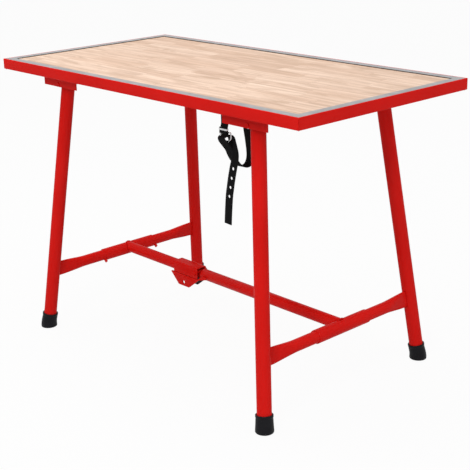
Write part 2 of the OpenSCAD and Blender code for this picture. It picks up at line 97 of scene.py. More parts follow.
# Strut: sleeves on the braces, two tubes and the knee between them
STRUT_Z = 0.188
SLEEVE_R = 0.01845
SLEEVE_L = 0.195
SLEEVE_FIT = 0.00005  # room between the sleeve and the brace
KNEE_X, KNEE_Z = -0.109, 0.190
SADDLE_X0, SADDLE_X1 = -0.205, -0.099
SADDLE_HALF_W = 0.0186
SADDLE_THICK = 0.0025
SADDLE_LOW = STRUT_Z - 0.015
SADDLE_ROOF = STRUT_Z + 0.0186
SHORT_END = SADDLE_X0 + 0.018
LONG_END = -0.087
CHEEK_TOP = STRUT_Z - 0.0165
CHEEK_BASE = STRUT_Z - 0.052
CHEEK_HEEL = LONG_END + 0.014
CHEEK_Y = 0.0176
CHEEK_THICK = 0.003
# black sheets just inside the cheeks: painted shade between them
SHADE_SHEET_Y = 0.0158
SHADE_SHEET_THICK = 0.0006
HOOK_THICK = 0.008
HOOK_FOOT = STRUT_Z - 0.016
HOOK_SEAT = KNEE_Z - 0.0045
HOOK_TOP = KNEE_Z + 0.005
HOOK_TIP = KNEE_X - 0.0045
HOOK_BACK = HOOK_TIP - 0.013

# Strap: where it hangs, its size and its fittings
STRAP_X, STRAP_Y = 0.307, -0.2595
STRAP_WALL = -0.2565  # y of the stretch above the keeper
STRAP_UNDER = RIM_Z - 0.0043  # height of the stretch under the bracket's roof
STRAP_W = 0.025
STRAP_THICK = 0.0024
HOLE_HEIGHTS = (0.635, 0.612, 0.5887, 0.5654)
HOLE_R = 0.004
RING_Z = 0.713
RING_HALF_W, RING_HALF_H = 0.0130, 0.0105
RING_WIRE_R = 0.0017
RING_YAW = math.radians(30)
KEEPER_Z = 0.732
KEEPER_HALF_H = 0.0022

# Camera: fitted to the bench's corners in the photo, whose frame is 470 pixels wide
CAMERA_AZIMUTH = math.radians(47.6708)
CAMERA_ELEVATION = math.radians(18.5946)
CAMERA_ROLL = math.radians(-1.3969)
CAMERA_TARGET = Vector((0.1806, -0.1171, 0.400))
CAMERA_DISTANCE = 2.9229
FOCAL_PIXELS = 1101.01
FRAME_PIXELS = 470.0
SENSOR = 36.0


# Shader nodes
def link(nt, a, b):
    nt.links.new(a, b)


def node(nt, kind, **settings):
    n = nt.nodes.new("ShaderNode" + kind)
    for name, value in settings.items():
        setattr(n, name, value)
    return n


def math_node(nt, operation, a, b=None, c=None):
    """A Math node whose inputs are numbers or sockets."""
    n = node(nt, "Math", operation=operation)
    for socket, value in zip(n.inputs, (a, b, c)):
        if value is None:
            continue
        if isinstance(value, (int, float)):
            socket.default_value = value
        else:
            link(nt, value, socket)
    return n.outputs[0]


def ramp(nt, factor, stops):
    n = node(nt, "ValToRGB")
    elements = n.color_ramp.elements
    while len(elements) < len(stops):
        elements.new(0.5)
    for element, (position, colour) in zip(elements, stops):
        element.position = position
        element.color = (*colour, 1.0)
    link(nt, factor, n.inputs[0])
    return n.outputs[0]


def mix_rgb(nt, factor, a, b):
    """Mixes two colours, each a tuple or a socket."""
    n = node(nt, "Mix", data_type="RGBA")
    link(nt, factor, n.inputs[0])
    for socket, value in ((n.inputs[6], a), (n.inputs[7], b)):
        if isinstance(value, tuple):
            socket.default_value = (*value, 1.0)
        else:
            link(nt, value, socket)
    return n.outputs[2]


def noise(nt, vector, scale, detail=2.0, rough=0.5, distort=0.0):
    n = node(nt, "TexNoise")
    n.inputs["Scale"].default_value = scale
    n.inputs["Detail"].default_value = detail
    n.inputs["Roughness"].default_value = rough
    n.inputs["Distortion"].default_value = distort
    link(nt, vector, n.inputs["Vector"])
    return n.outputs["Fac"]


def white_noise(nt, dimensions, socket, value):
    n = node(nt, "TexWhiteNoise", noise_dimensions=dimensions)
    link(nt, value, n.inputs[socket])
    return n


def stretch(nt, vector, scale):
    n = node(nt, "Mapping")
    n.inputs["Scale"].default_value = scale
    link(nt, vector, n.inputs["Vector"])
    return n.outputs["Vector"]


def split_xyz(nt, vector):
    n = node(nt, "SeparateXYZ")
    link(nt, vector, n.inputs[0])
    return n.outputs["X"], n.outputs["Y"], n.outputs["Z"]


def remap(nt, value, at_low, at_high, low=0.0, high=1.0):
    """Turns the range from low to high into the range from at_low to at_high, and stays within it."""
    n = node(nt, "MapRange")
    for socket, number in zip(n.inputs[1:5], (low, high, at_low, at_high)):
        socket.default_value = number
    link(nt, value, n.inputs[0])
    return n.outputs[0]


def wave(nt, cycles):
    return math_node(nt, "SINE", math_node(nt, "MULTIPLY", cycles, math.tau))


def from_middle(nt, value):
    """Distance from the middle of each whole step, 0 to 0.5."""
    return math_node(nt, "ABSOLUTE", math_node(nt, "SUBTRACT", math_node(nt, "FRACT", value), 0.5))


def bump(nt, height, strength, distance, shader):
    n = node(nt, "Bump")
    n.inputs["Strength"].default_value = strength
    n.inputs["Distance"].default_value = distance
    link(nt, height, n.inputs["Height"])
    link(nt, n.outputs["Normal"], shader.inputs["Normal"])


def edge_mask(nt, radius):
    """1 along edges and 0 on open faces."""
    bevel = node(nt, "Bevel", samples=4)
    bevel.inputs["Radius"].default_value = radius
    dot = node(nt, "VectorMath", operation="DOT_PRODUCT")
    link(nt, bevel.outputs[0], dot.inputs[0])
    link(nt, node(nt, "NewGeometry").outputs["Normal"], dot.inputs[1])
    return remap(nt, dot.outputs["Value"], 1.0, 0.0, 0.90, 0.995)


# Materials
SOCKETS = {
    "specular": "Specular IOR Level",
    "metallic": "Metallic",
    "coat": "Coat Weight",
    "coat_rough": "Coat Roughness",
    "sheen": "Sheen Weight",
    "sheen_rough": "Sheen Roughness",
}


def new_material(name, **constants):
    """A material, its node tree, its shader with the given constants set, and its object coordinates."""
    m = bpy.data.materials.new(name)
    m.use_nodes = True
    nt = m.node_tree
    shader = nt.nodes["Principled BSDF"]
    for socket, value in constants.items():
        shader.inputs[SOCKETS[socket]].default_value = value
    return m, nt, shader, node(nt, "TexCoord").outputs["Object"]


def red_paint():
    m, nt, shader, at = new_material("red_paint", specular=0.01, coat=0.08, coat_rough=0.12)
    deep, bright = (0.66, 0.0085, 0.0060), (0.745, 0.0115, 0.0082)
    colour = ramp(nt, noise(nt, at, 5.0, 3.0), [(0.3, deep), (0.7, bright)])
    fleck = remap(nt, noise(nt, at, 700.0, 1.0), 0.0, 0.10, 0.62, 0.75)
    colour = mix_rgb(nt, fleck, colour, (0.75, 0.03, 0.022))
    # a lighter red along some stretches of the edges: partly thinner paint, partly a painted highlight
    stretches = remap(nt, noise(nt, at, 60.0, 3.0), 0.0, 0.35, 0.42, 0.62)
    thin_paint_and_highlight = math_node(nt, "MULTIPLY", edge_mask(nt, 0.0012), stretches)
    colour = mix_rgb(nt, thin_paint_and_highlight, colour, (0.78, 0.05, 0.04))
    link(nt, colour, shader.inputs["Base Color"])
    link(nt, remap(nt, noise(nt, at, 22.0, 3.0), 0.26, 0.38, 0.3, 0.7), shader.inputs["Roughness"])
    bump(nt, noise(nt, at, 420.0, 2.0), 0.10, 0.0006, shader)
    return m


def weld_paint():
    m, nt, shader, at = new_material("weld_paint", specular=0.02)
    tone = noise(nt, at, 240.0, 3.0)
    deep, bright = (0.50, 0.0045, 0.0035), (0.64, 0.0075, 0.0060)
    link(nt, ramp(nt, tone, [(0.35, deep), (0.65, bright)]), shader.inputs["Base Color"])
    link(nt, remap(nt, tone, 0.28, 0.45), shader.inputs["Roughness"])
    bump(nt, noise(nt, at, 330.0, 3.0), 0.5, 0.0010, shader)
    return m


def staves(nt, at):
    """Splits the wood into staves with finger joints: gives each a random node, and a mask of glue lines."""
    stave_w, shortest, spread, row_shift = 0.0435, 0.20, 0.14, 5.7
    finger_pitch, finger_reach = 0.0072, 0.0065
    x, y, _ = split_xyz(nt, at)
    lane = math_node(nt, "DIVIDE", y, stave_w)
    row = math_node(nt, "FLOOR", lane)
    row_random = white_noise(nt, "1D", "W", row).outputs["Value"]
    teeth = math_node(nt, "PINGPONG", math_node(nt, "DIVIDE", y, finger_pitch), 0.5)
    zigzag = math_node(nt, "MULTIPLY", teeth, 2.0 * finger_reach)
    along = math_node(nt, "ADD", math_node(nt, "MULTIPLY_ADD", row_random, row_shift, x), zigzag)
    length = math_node(nt, "MULTIPLY_ADD", row_random, spread, shortest)
    step = math_node(nt, "DIVIDE", along, length)
    place = node(nt, "CombineXYZ")
    link(nt, row, place.inputs[0])
    link(nt, math_node(nt, "FLOOR", step), place.inputs[1])
    stave = white_noise(nt, "3D", "Vector", place.outputs[0])
    sides = remap(nt, from_middle(nt, lane), 0.0, 1.0, 0.490, 0.497)
    ends = remap(nt, from_middle(nt, step), 0.0, 1.0, 0.4965, 0.499)
    return stave, math_node(nt, "MAXIMUM", sides, ends)


def timber():
    m, nt, shader, at = new_material("timber", specular=0.15, coat=0.04, coat_rough=0.25)
    stave, glue = staves(nt, at)
    # the grain starts afresh in each stave
    shift = node(nt, "VectorMath", operation="MULTIPLY_ADD")
    link(nt, stave.outputs["Color"], shift.inputs[0])
    shift.inputs[1].default_value = (3.0, 3.0, 3.0)
    link(nt, at, shift.inputs[2])

    def grain(along, across, detail=2.0, rough=0.5, distort=0.0):
        drawn_out = stretch(nt, shift.outputs[0], (along, across, across))
        return noise(nt, drawn_out, 1.0, detail, rough, distort)

    fibre = grain(5.0, 150.0, 6.0, 0.6, 0.4)
    figure = grain(1.6, 26.0, 3.0, 0.5, 1.2)
    pores = grain(40.0, 900.0)
    streak = grain(4.2, 80.0, 4.0, 0.6, 0.8)
    patch = grain(6.0, 17.0, 3.0, 0.55, 0.8)
    colour = ramp(nt, stave.outputs["Value"], [
        (0.0, (0.548, 0.358, 0.246)), (0.3, (0.650, 0.455, 0.336)),
        (0.7, (0.706, 0.516, 0.392)), (1.0, (0.598, 0.398, 0.280))])
    # each layer turns the colour towards its tone, by a share that depends on its noise
    for share, tone in (
        (remap(nt, figure, 0.0, 0.75, 0.44, 0.74), (0.510, 0.334, 0.230)),
        (remap(nt, streak, 0.0, 0.78, 0.49, 0.70), (0.390, 0.250, 0.170)),
        (remap(nt, streak, 0.60, 0.0, 0.28, 0.47), (0.790, 0.624, 0.494)),
        (remap(nt, fibre, 0.0, 0.65, 0.45, 0.75), (0.510, 0.338, 0.239)),
        (remap(nt, pores, 0.0, 0.40, 0.62, 0.72), (0.370, 0.223, 0.129)),
        (remap(nt, patch, 0.0, 0.85, 0.53, 0.72), (0.430, 0.275, 0.180)),
        (math_node(nt, "MULTIPLY", glue, 0.45), (0.317, 0.178, 0.101)),
    ):
        colour = mix_rgb(nt, share, colour, tone)
    link(nt, colour, shader.inputs["Base Color"])
    link(nt, remap(nt, fibre, 0.36, 0.52), shader.inputs["Roughness"])
    height = math_node(nt, "SUBTRACT", math_node(nt, "MULTIPLY", fibre, 0.5), glue)
    bump(nt, height, 0.25, 0.0004, shader)
    return m


def steel(name, colour, rough, metallic, specular, grain, mottle=14.0, relief=0.12):
    m, nt, shader, at = new_material(name, metallic=metallic, specular=specular)
    line = noise(nt, stretch(nt, at, grain), 1.0, 4.0)
    dull = noise(nt, at, mottle, 3.0)
    share = remap(nt, math_node(nt, "ADD", line, dull), 0.0, 1.0, 0.7, 1.3)
    darker = tuple(0.775 * c for c in colour)
    link(nt, mix_rgb(nt, share, colour, darker), shader.inputs["Base Color"])
    link(nt, remap(nt, line, rough - 0.07, rough + 0.09, 0.3, 0.7), shader.inputs["Roughness"])
    bump(nt, line, relief, 0.0003, shader)
    return m


def rubber():
    m, nt, shader, at = new_material("rubber", specular=0.10)
    tone = noise(nt, at, 35.0, 4.0)
    colour = ramp(nt, tone, [(0.3, (0.006, 0.006, 0.0072)), (0.75, (0.012, 0.012, 0.0145))])
    dust = remap(nt, noise(nt, at, 160.0, 4.0), 0.0, 0.15, 0.60, 0.85)
    link(nt, mix_rgb(nt, dust, colour, (0.05, 0.048, 0.047)), shader.inputs["Base Color"])
    link(nt, remap(nt, tone, 0.42, 0.62), shader.inputs["Roughness"])
    bump(nt, noise(nt, at, 900.0, 3.0), 0.25, 0.0006, shader)
    return m


def webbing():
    m, nt, shader, at = new_material("webbing", specular=0.06, sheen=0.01, sheen_rough=0.5)
    warp_w, rib_l = 0.0016, 0.0022
    # u runs across the strap and v along it, both in metres; the ribs lean to and fro across the strap
    u, v, _ = split_xyz(nt, node(nt, "TexCoord").outputs["UV"])
    across = math_node(nt, "DIVIDE", u, warp_w)
    along = math_node(nt, "DIVIDE", v, rib_l)
    lean = math_node(nt, "MULTIPLY", math_node(nt, "PINGPONG", across, 4.0), 0.5)
    rib = wave(nt, math_node(nt, "ADD", along, lean))
    weave = math_node(nt, "MULTIPLY_ADD", wave(nt, across), 0.35, rib)
    fuzz = noise(nt, at, 500.0, 3.0)
    tone = math_node(nt, "MULTIPLY_ADD", fuzz, 0.3, remap(nt, weave, 0.0, 0.7, -1.3, 1.3))
    colour = ramp(nt, tone, [(0.1, (0.0020, 0.0020, 0.0022)), (0.9, (0.0080, 0.0080, 0.0086))])
    link(nt, colour, shader.inputs["Base Color"])
    link(nt, remap(nt, fuzz, 0.62, 0.85), shader.inputs["Roughness"])
    bump(nt, weave, 0.35, 0.0004, shader)
    return m


MAT = {
    "red_paint": red_paint(),
    "weld_paint": weld_paint(),
    "timber": timber(),
    "bare_steel": steel("strip_steel", (0.285, 0.275, 0.280), 0.41, 0.3, 0.5, (40.0, 40.0, 40.0), 9.0, 0.10),
    "bright_steel": steel("bright_steel", (0.66, 0.66, 0.67), 0.22, 1.0, 0.5, (90.0, 90.0, 400.0)),
    "black_steel": steel("black_steel", (0.009, 0.009, 0.010), 0.45, 0.0, 0.08, (200.0, 200.0, 200.0)),
    "rubber": rubber(),
    "webbing": webbing(),
}


# Mesh building
def unit(v):
    return Vector(v).normalized()


def clamp(q):
    return min(1.0, max(0.0, q))


def smooth_step(q):
    return q * q * (3 - 2 * q)


def add(name, bm, material, body, stands_for=(), bevel=0.0, angle=40.0):
    """Makes a piece of a bmesh: smooth faces with sharp edges kept, and a small bevel where asked."""
    bmesh.ops.remove_doubles(bm, verts=bm.verts, dist=1e-6)
    bmesh.ops.recalc_face_normals(bm, faces=bm.faces)
    for f in bm.faces:
        f.smooth = True
    for e in bm.edges:
        corner = len(e.link_faces) == 2 and e.calc_face_angle(0.0) > math.radians(angle)
        e.smooth = bool(bevel) or not corner
    mesh = bpy.data.meshes.new(name)
    bm.to_mesh(mesh)
    bm.free()
    piece = bpy.data.objects.new(name, mesh)
    bpy.context.scene.collection.objects.link(piece)
    mesh.materials.append(MAT[material])
    if bevel:
        edges = piece.modifiers.new("edges", "BEVEL")
        edges.width = bevel
        edges.segments = 2
        edges.limit_method = "ANGLE"
        edges.angle_limit = math.radians(angle)
        edges.harden_normals = True
    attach(piece, body)
    if stands_for:
        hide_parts(*stands_for)
    return piece


def add_weld(name, bm, body):
    add(name, bm, "weld_paint", body)


def ring_faces(bm, rings, closed=False, caps=True):
    """Joins rings of equal count into a skin."""
    skin = [[bm.verts.new(p) for p in ring] for ring in rings]
    n = len(skin[0])
    pairs = list(zip(skin, skin[1:]))
    if closed:
        pairs.append((skin[-1], skin[0]))
    for a, b in pairs:
        for k in range(n):
            q = (k + 1) % n
            bm.faces.new((a[k], a[q], b[q], b[k]))
    if caps and not closed:
        bm.faces.new(skin[0][::-1])
        bm.faces.new(skin[-1])
    return skin


def basis(z):
    """Three unit vectors with the third along z."""
    z = unit(z)
    x = unit(z.cross((0, 1, 0)) if abs(z.y) < 0.9 else z.cross((1, 0, 0)))
    return x, z.cross(x), z


def turns(n):
    """The angles of n equal steps round a circle."""
    return [math.tau * k / n for k in range(n)]


def circle(centre, x, y, r, n):
    return [Vector(centre) + r * (math.cos(t) * x + math.sin(t) * y) for t in turns(n)]


def lathe(bm, origin, axis, profile, n=64):
    """Turns a closed profile of (radius, height) pairs about an axis."""
    x, y, z = basis(axis)
    ring_faces(bm, [circle(Vector(origin) + h * z, x, y, r, n) for r, h in profile], closed=True)


def tube_profile(r, r_in, h0, h1, edge):
    """A tube's wall from h0 to h1, with its four edges broken."""
    return [(r_in, h0 + edge), (r_in + edge, h0), (r - edge, h0), (r, h0 + edge),
            (r, h1 - edge), (r - edge, h1), (r_in + edge, h1), (r_in, h1 - edge)]


def nearest_turn(ring, point):
    """The index of the ring's point that lies nearest to another point."""
    return min(range(len(ring)), key=lambda s: (ring[s] - point).length)


def bead(bm, path, r, n=8, closed=True):
    """A weld bead: a lumpy tube along a path."""
    rings = []
    m = len(path)
    for i, p in enumerate(path):
        if closed:
            a, b = path[i - 1], path[(i + 1) % m]
        else:
            a, b = path[max(i - 1, 0)], path[min(i + 1, m - 1)]
        x, y, _ = basis(b - a)
        lumps = 1.0 + 0.22 * math.sin(2.3 * i) + 0.12 * random.uniform(-1, 1)
        ring = circle(p, x, y, r * lumps, n)
        # keep the rings from twisting against each other
        k = nearest_turn(ring, rings[-1][0]) if rings else 0
        rings.append(ring[k:] + ring[:k])
    skin = ring_faces(bm, rings, caps=not closed)
    if closed:
        k = nearest_turn(rings[0], rings[-1][0])
        first, last = skin[0][k:] + skin[0][:k], skin[-1]
        for s in range(n):
            q = (s + 1) % n
            bm.faces.new((last[s], last[q], first[q], first[s]))


def straight_bead(bm, start, step, count, r, n=8):
    bead(bm, [Vector(start) + Vector(step) * k for k in range(count)], r, n, closed=False)


def rectangle(x0, x1, y0, y1):
    return [(x0, y0), (x1, y0), (x1, y1), (x0, y1)]


def rounded(points, radii, n):
    """A closed outline in 2-D whose corners are arcs of n steps; a radius of 0 leaves a corner sharp."""
    out = []
    m = len(points)
    for i, r in enumerate(radii):
        p, a, b = Vector(points[i]), Vector(points[i - 1]), Vector(points[(i + 1) % m])
        if r == 0:
            out.append(p)
            continue
        u, v = (a - p).normalized(), (b - p).normalized()
        half = math.acos(max(-1, min(1, u.dot(v)))) / 2
        reach = r / math.tan(half)
        centre = p + (u + v).normalized() * (r / math.sin(half))
        start, stop = p + u * reach - centre, p + v * reach - centre
        turn = math.atan2(start.x * stop.y - start.y * stop.x, start.dot(stop))
        for k in range(n + 1):
            c, s = math.cos(turn * k / n), math.sin(turn * k / n)
            out.append(centre + Vector((start.x * c - start.y * s, start.x * s + start.y * c)))
    return out


def channel(half_w, thick, low, high, tip, bend, inner, n):
    """The section of a sheet bent into a channel that opens downwards, with its three kinds of radius."""
    a, b, roof = half_w, half_w - thick, high - thick
    outline = [(-a, low), (-a, high), (a, high), (a, low), (b, low), (b, roof), (-b, roof), (-b, low)]
    return rounded(outline, [tip, bend, bend, tip, tip, inner, inner, tip], n)


def prism(bm, outline, place, low, high):
    """Extrudes a 2-D outline; place(u, v, w) gives the point."""
    ring_faces(bm, [[Vector(place(p[0], p[1], w)) for p in outline] for w in (low, high)])


def evaluated(ob):
    """The object's mesh with its modifiers applied."""
    bpy.context.view_layer.update()
    deps = bpy.context.evaluated_depsgraph_get()
    return bpy.data.meshes.new_from_object(ob.evaluated_get(deps))


# Top: rim angle, corner welds and sealant
def rim_bar(name, turn, length, reach):
    """One side of the rim: an angle with mitred ends, turned about the middle of the top."""
    corners = [(0, 0), (RIM_FLANGE, 0), (RIM_FLANGE, RIM_THICK),
               (RIM_THICK, RIM_THICK), (RIM_THICK, RIM_H), (0, RIM_H)]
    section = rounded(corners, [0.0016, 0.0008, 0.0008, 0.0015, 0.0009, 0.0009], 4)
    rotation = Matrix.Rotation(turn, 3, "Z")
    rings = []
    for s in (-1, 1):
        end = [Vector((s * (length / 2 - u), u - reach / 2, RIM_Z + v)) for u, v in section]
        rings.append([rotation @ p for p in end])
    bm = bmesh.new()
    ring_faces(bm, rings)
    add(name + "_angle", bm, "red_paint", "top", (name,), angle=50)


def corner_welds():
    """A bead down each corner of the rim, and one along the mitre under it."""
    sink, r = 0.001, 0.0013
    bm = bmesh.new()
    for sx in SIDES.values():
        for sy in ENDS.values():
            corner = Vector((sx * (TOP_L / 2 - sink), sy * (TOP_W / 2 - sink), RIM_Z))
            inwards = Vector((-sx, -sy, 0))
            straight_bead(bm, corner + Z_AXIS * 0.002, (0, 0, 0.0012), 21, r, 10)
            straight_bead(bm, corner + inwards * 0.003 - Z_AXIS * 0.0004, inwards * 0.0014, 18, r)
    add_weld("corner_welds", bm, "top")


def painted_shade_line():
    """Dark line between the steel strips and the wood, in the step where they meet: painted shade on the
    step's face, not a real part.
    """
    loops = []
    for inwards, z in rectangle(0, SHADE_LINE_W, SHADE_LINE_LOW, SHADE_LINE_HIGH):
        x, y = TOP_L / 2 - SHADE_LINE_INSET - inwards, TOP_W / 2 - SHADE_LINE_INSET - inwards
        loops.append([Vector((u, v, z)) for u, v in rectangle(-x, x, -y, y)])
    bm = bmesh.new()
    ring_faces(bm, loops, closed=True)
    add("strip_painted_shade_line", bm, "rubber", "top")


# Hinge brackets: bent sheet, welded under the cross rails
def bracket(name, sx, sy):
    sheet = channel(BRACKET_HALF_W, BRACKET_THICK, HINGE_Z - BRACKET_LIP, RIM_Z, 0.0006, 0.0042, 0.0012, 5)
    middle = sx * (HINGE_X - BRACKET_SHIFT)
    bm = bmesh.new()
    prism(bm, sheet, lambda u, v, x: (middle + x, sy * HINGE_Y + u, v), -BRACKET_HALF_L, BRACKET_HALF_L)
    add(name + "_sheet", bm, "red_paint", "top", (name,), bevel=0.0005, angle=50)


def bracket_welds():
    bm = bmesh.new()
    for sx in SIDES.values():
        for sy in ENDS.values():
            for e in (-1, 1):
                y = sy * HINGE_Y + e * (BRACKET_HALF_W - 0.0005)
                start = (sx * HINGE_X - 0.030, y, RIM_Z - 0.0006)
                straight_bead(bm, start, (0.0022, 0, 0), 28, 0.0017)
    add_weld("bracket_welds", bm, "top")


# Legs and feet
def leg_point(sx, sy, z):
    """The point of a leg's axis at a height."""
    up = z / HINGE_Z
    return Vector((sx * (FOOT_X + (HINGE_X - FOOT_X) * up), sy * (FOOT_Y + (HINGE_Y - FOOT_Y) * up), z))


def leg_axis(sx, sy):
    """Where a leg's axis meets the floor, and the way from there to its hinge."""
    foot_at = leg_point(sx, sy, 0)
    return foot_at, leg_point(sx, sy, HINGE_Z) - foot_at


def leg(name, body, sx, sy):
    foot_at, axis = leg_axis(sx, sy)
    wall = tube_profile(LEG_R, LEG_R - LEG_WALL, LEG_SEAT, axis.length - LEG_TOP_GAP, 0.0006)
    bm = bmesh.new()
    lathe(bm, foot_at, axis, wall)
    add(name + "_tube", bm, "red_paint", body, (name,))


# Radius and height round a rubber foot: sole, tapered side, groove, collar and the seat of the leg
FOOT_PROFILE = [
    (0.0, 0.0), (0.0220, 0.0), (0.0234, 0.0006), (0.0240, 0.0020), (0.0240, 0.0065),
    (0.0238, 0.0085), (0.0234, 0.0140), (0.0230, 0.0210), (0.0226, 0.0290), (0.0223, 0.0350),
    (0.0221, 0.0368), (0.0223, 0.0378), (0.0228, 0.0384),
    (0.0230, 0.0394), (0.0230, 0.0434), (0.0227, 0.0445), (0.0221, 0.0450), (0.0203, 0.0450),
    (0.0196, 0.0444), (0.0191, 0.0430), (0.0191, 0.0150), (0.0, 0.0150),
]


def foot(name, body, sx, sy):
    """Flat on the floor below, and square to its leg above."""
    turn_from, turn_over, tiny = 0.003, 0.034, 1e-4
    foot_at, axis = leg_axis(sx, sy)
    x, y, z = basis(axis)
    flat_x = unit((x.x, x.y, 0))
    flat_y = Z_AXIS.cross(flat_x)
    rings = []
    for r, h in FOOT_PROFILE:
        share = smooth_step(clamp((h - turn_from) / turn_over))
        low = circle(foot_at + Z_AXIS * h, flat_x, flat_y, max(r, tiny), 64)
        high = circle(foot_at + z * h, x, y, max(r, tiny), 64)
        rings.append([p.lerp(q, share) for p, q in zip(low, high)])
    bm = bmesh.new()
    ring_faces(bm, rings)
    add(name + "_rubber", bm, "rubber", body, (name,))


# Braces: round tubes whose ends are pressed flat and welded to the legs
def brace_section(sx, y):
    """The brace's outline at y: round in the middle, flat and leaning with the legs at the ends."""
    q = clamp((abs(y) - FLAT_Y + FLARE_L) / FLARE_L)
    share = 0.55 * q + 0.45 * smooth_step(q)
    half_h = TUBE_R + (FLAT_HALF_H - TUBE_R) * share
    half_t = TUBE_R + (FLAT_HALF_T - TUBE_R) * share
    power = 2.0 / (2.0 + 1.6 * share)
    cos_tilt, sin_tilt = math.cos(LEAN * share), sx * math.sin(LEAN * share)
    out = []
    for t in turns(56):
        u = half_t * math.copysign(abs(math.cos(t)) ** power, math.cos(t))
        v = half_h * math.copysign(abs(math.sin(t)) ** power, math.sin(t))
        x, z = u * cos_tilt - v * sin_tilt, u * sin_tilt + v * cos_tilt
        out.append(Vector((sx * BRACE_X + x, y, BRACE_Z + z)))
    return out


def brace(name, body, sx):
    stop, steps, lead = BRACE_Y - LEG_R * 0.72, 32, 0.001
    half = [stop] + [FLAT_Y + lead - (FLARE_L + 2 * lead) * k / steps for k in range(steps + 1)] + [0.10]
    ys = [-y for y in half] + [0.0] + half[::-1]
    bm = bmesh.new()
    ring_faces(bm, [brace_section(sx, y) for y in ys])
    add(name + "_tube", bm, "red_paint", body, (name,))


def reach_leg(sx, sy, p):
    """Slides a point of the brace outwards until it touches the leg."""
    foot_at, axis = leg_axis(sx, sy)
    near, far = BRACE_Y - 2 * LEG_R, BRACE_Y
    for _ in range(30):
        middle = (near + far) / 2
        arm = Vector((p.x, sy * middle, p.z)) - foot_at
        if (arm - arm.project(axis)).length > LEG_R:
            near = middle
        else:
            far = middle
    return Vector((p.x, sy * near, p.z))


def brace_welds(name, body, sx):
    bm = bmesh.new()
    for sy in ENDS.values():
        path = [reach_leg(sx, sy, p) for p in brace_section(sx, sy * BRACE_Y)]
        fine = []
        for i, p in enumerate(path):
            fine += [p, p.lerp(path[(i + 1) % len(path)], 0.5)]
        bead(bm, fine, 0.0021)
    add_weld(name + "_welds", bm, body)


def stop_tabs(name, body, sx):
    """Small plates at the ends of a sleeve, which point down and towards the middle."""
    half_w, low, high, thick = 0.005, 0.012, 0.026, 0.004
    tab = rounded(rectangle(-half_w, half_w, low, high), [0, 0, 0.002, 0.002], 4)
    c, q = math.cos(math.pi / 4), sx * math.sin(math.pi / 4)
    start = SLEEVE_L / 2 + 0.0003
    bm = bmesh.new()
    for sy in ENDS.values():
        prism(bm, tab, lambda u, v, y: (sx * BRACE_X + u * c - v * q, sy * y, BRACE_Z - u * q - v * c),
              start, start + thick)
    add(name + "_plates", bm, "red_paint", body, (name,), bevel=0.0004)


# Strut: sleeves on the braces, and tubes notched over them
def sleeve(name, body, sx):
    half = SLEEVE_L / 2
    wall = tube_profile(SLEEVE_R, TUBE_R + SLEEVE_FIT, -half, half, 0.0008)
    bm = bmesh.new()
    lathe(bm, (sx * BRACE_X, 0, BRACE_Z), Y_AXIS, wall)
    add(name + "_tube", bm, "red_paint", body, (name,))


def strut_notch(sx, sink):
    """The ring on which a strut tube meets its sleeve, sunk into it by a given depth."""
    ring = []
    for t in turns(64):
        y, z = TUBE_R * math.cos(t), TUBE_R * math.sin(t)
        rise = STRUT_Z - BRACE_Z + z
        reach = math.sqrt(max(0.0, SLEEVE_R ** 2 - rise * rise)) - sink
        ring.append(Vector((sx * (BRACE_X - max(0.0, reach)), y, STRUT_Z + z)))
    return ring


def strut_tube(name, body, sx, profile):
    """A strut tube from its notch to its end, which follows a profile of (radius, x) pairs."""
    rings = [circle((x, 0, STRUT_Z), Y_AXIS, Z_AXIS, r, 64) for r, x in profile]
    bm = bmesh.new()
    ring_faces(bm, [strut_notch(sx, 0.001)] + rings)
    add(name + "_skin", bm, "red_paint", body, (name,))


def short_tube():
    """Its end is open, with a wall."""
    edge, wall, depth = 0.0006, 0.002, 0.030
    bore = TUBE_R - wall
    strut_tube("short_tube", "left_strut", SIDES["left"], [
        (TUBE_R, SHORT_END - edge), (TUBE_R - edge, SHORT_END), (bore + edge, SHORT_END),
        (bore, SHORT_END - edge), (bore, SHORT_END - depth)])


def long_tube():
    """Its end is closed, with a round edge."""
    strut_tube("long_tube", "right_strut", SIDES["right"], [
        (TUBE_R, LONG_END + 0.0012), (TUBE_R - 0.0004, LONG_END + 0.0004), (TUBE_R - 0.0012, LONG_END)])


def strut_weld(name, body, sx):
    bm = bmesh.new()
    bead(bm, strut_notch(sx, 0.0), 0.0021)
    add_weld(name + "_weld", bm, body)


# Knee: saddle, cheeks and hook plate
def knee_saddle():
    sheet = channel(SADDLE_HALF_W, SADDLE_THICK, SADDLE_LOW, SADDLE_ROOF, 0.0005, 0.0058, 0.0008, 7)
    bm = bmesh.new()
    prism(bm, sheet, lambda u, v, x: (x, u, v), SADDLE_X0, SADDLE_X1)
    add("knee_saddle_sheet", bm, "red_paint", "left_strut", ("knee_saddle",), bevel=0.0004, angle=50)


def flat_mesh(name, loops, thick):
    """A plate with broken edges, lying flat: the first loop is its outline and the others are its holes."""
    edge = min(0.0004, thick / 4)
    curve = bpy.data.curves.new(name, "CURVE")
    curve.dimensions = "2D"
    curve.fill_mode = "BOTH"
    curve.extrude = thick / 2 - edge
    curve.bevel_depth = edge
    curve.offset = -edge
    curve.bevel_resolution = 2
    for loop in loops:
        spline = curve.splines.new("POLY")
        spline.points.add(len(loop) - 1)
        for point, (u, v) in zip(spline.points, loop):
            point.co = (u, v, 0, 1)
        spline.use_cyclic_u = True
    ob = bpy.data.objects.new(name, curve)
    bpy.context.scene.collection.objects.link(ob)
    mesh = evaluated(ob)
    bpy.data.objects.remove(ob)
    return mesh


def plates(name, loops, ys, thick, stands_for=(), material="red_paint"):
    """Plates that stand along the strut, one at each y."""
    flat = flat_mesh(name, loops, thick)
    bm = bmesh.new()
    for y in ys:
        known = len(bm.verts)
        bm.from_mesh(flat)
        bm.verts.ensure_lookup_table()
        upright = Matrix.Translation((0, y, 0)) @ Matrix.Rotation(math.pi / 2, 4, "X")
        bmesh.ops.transform(bm, matrix=upright, verts=bm.verts[known:])
    bpy.data.meshes.remove(flat)
    add(name, bm, material, "right_strut", stands_for, angle=30)


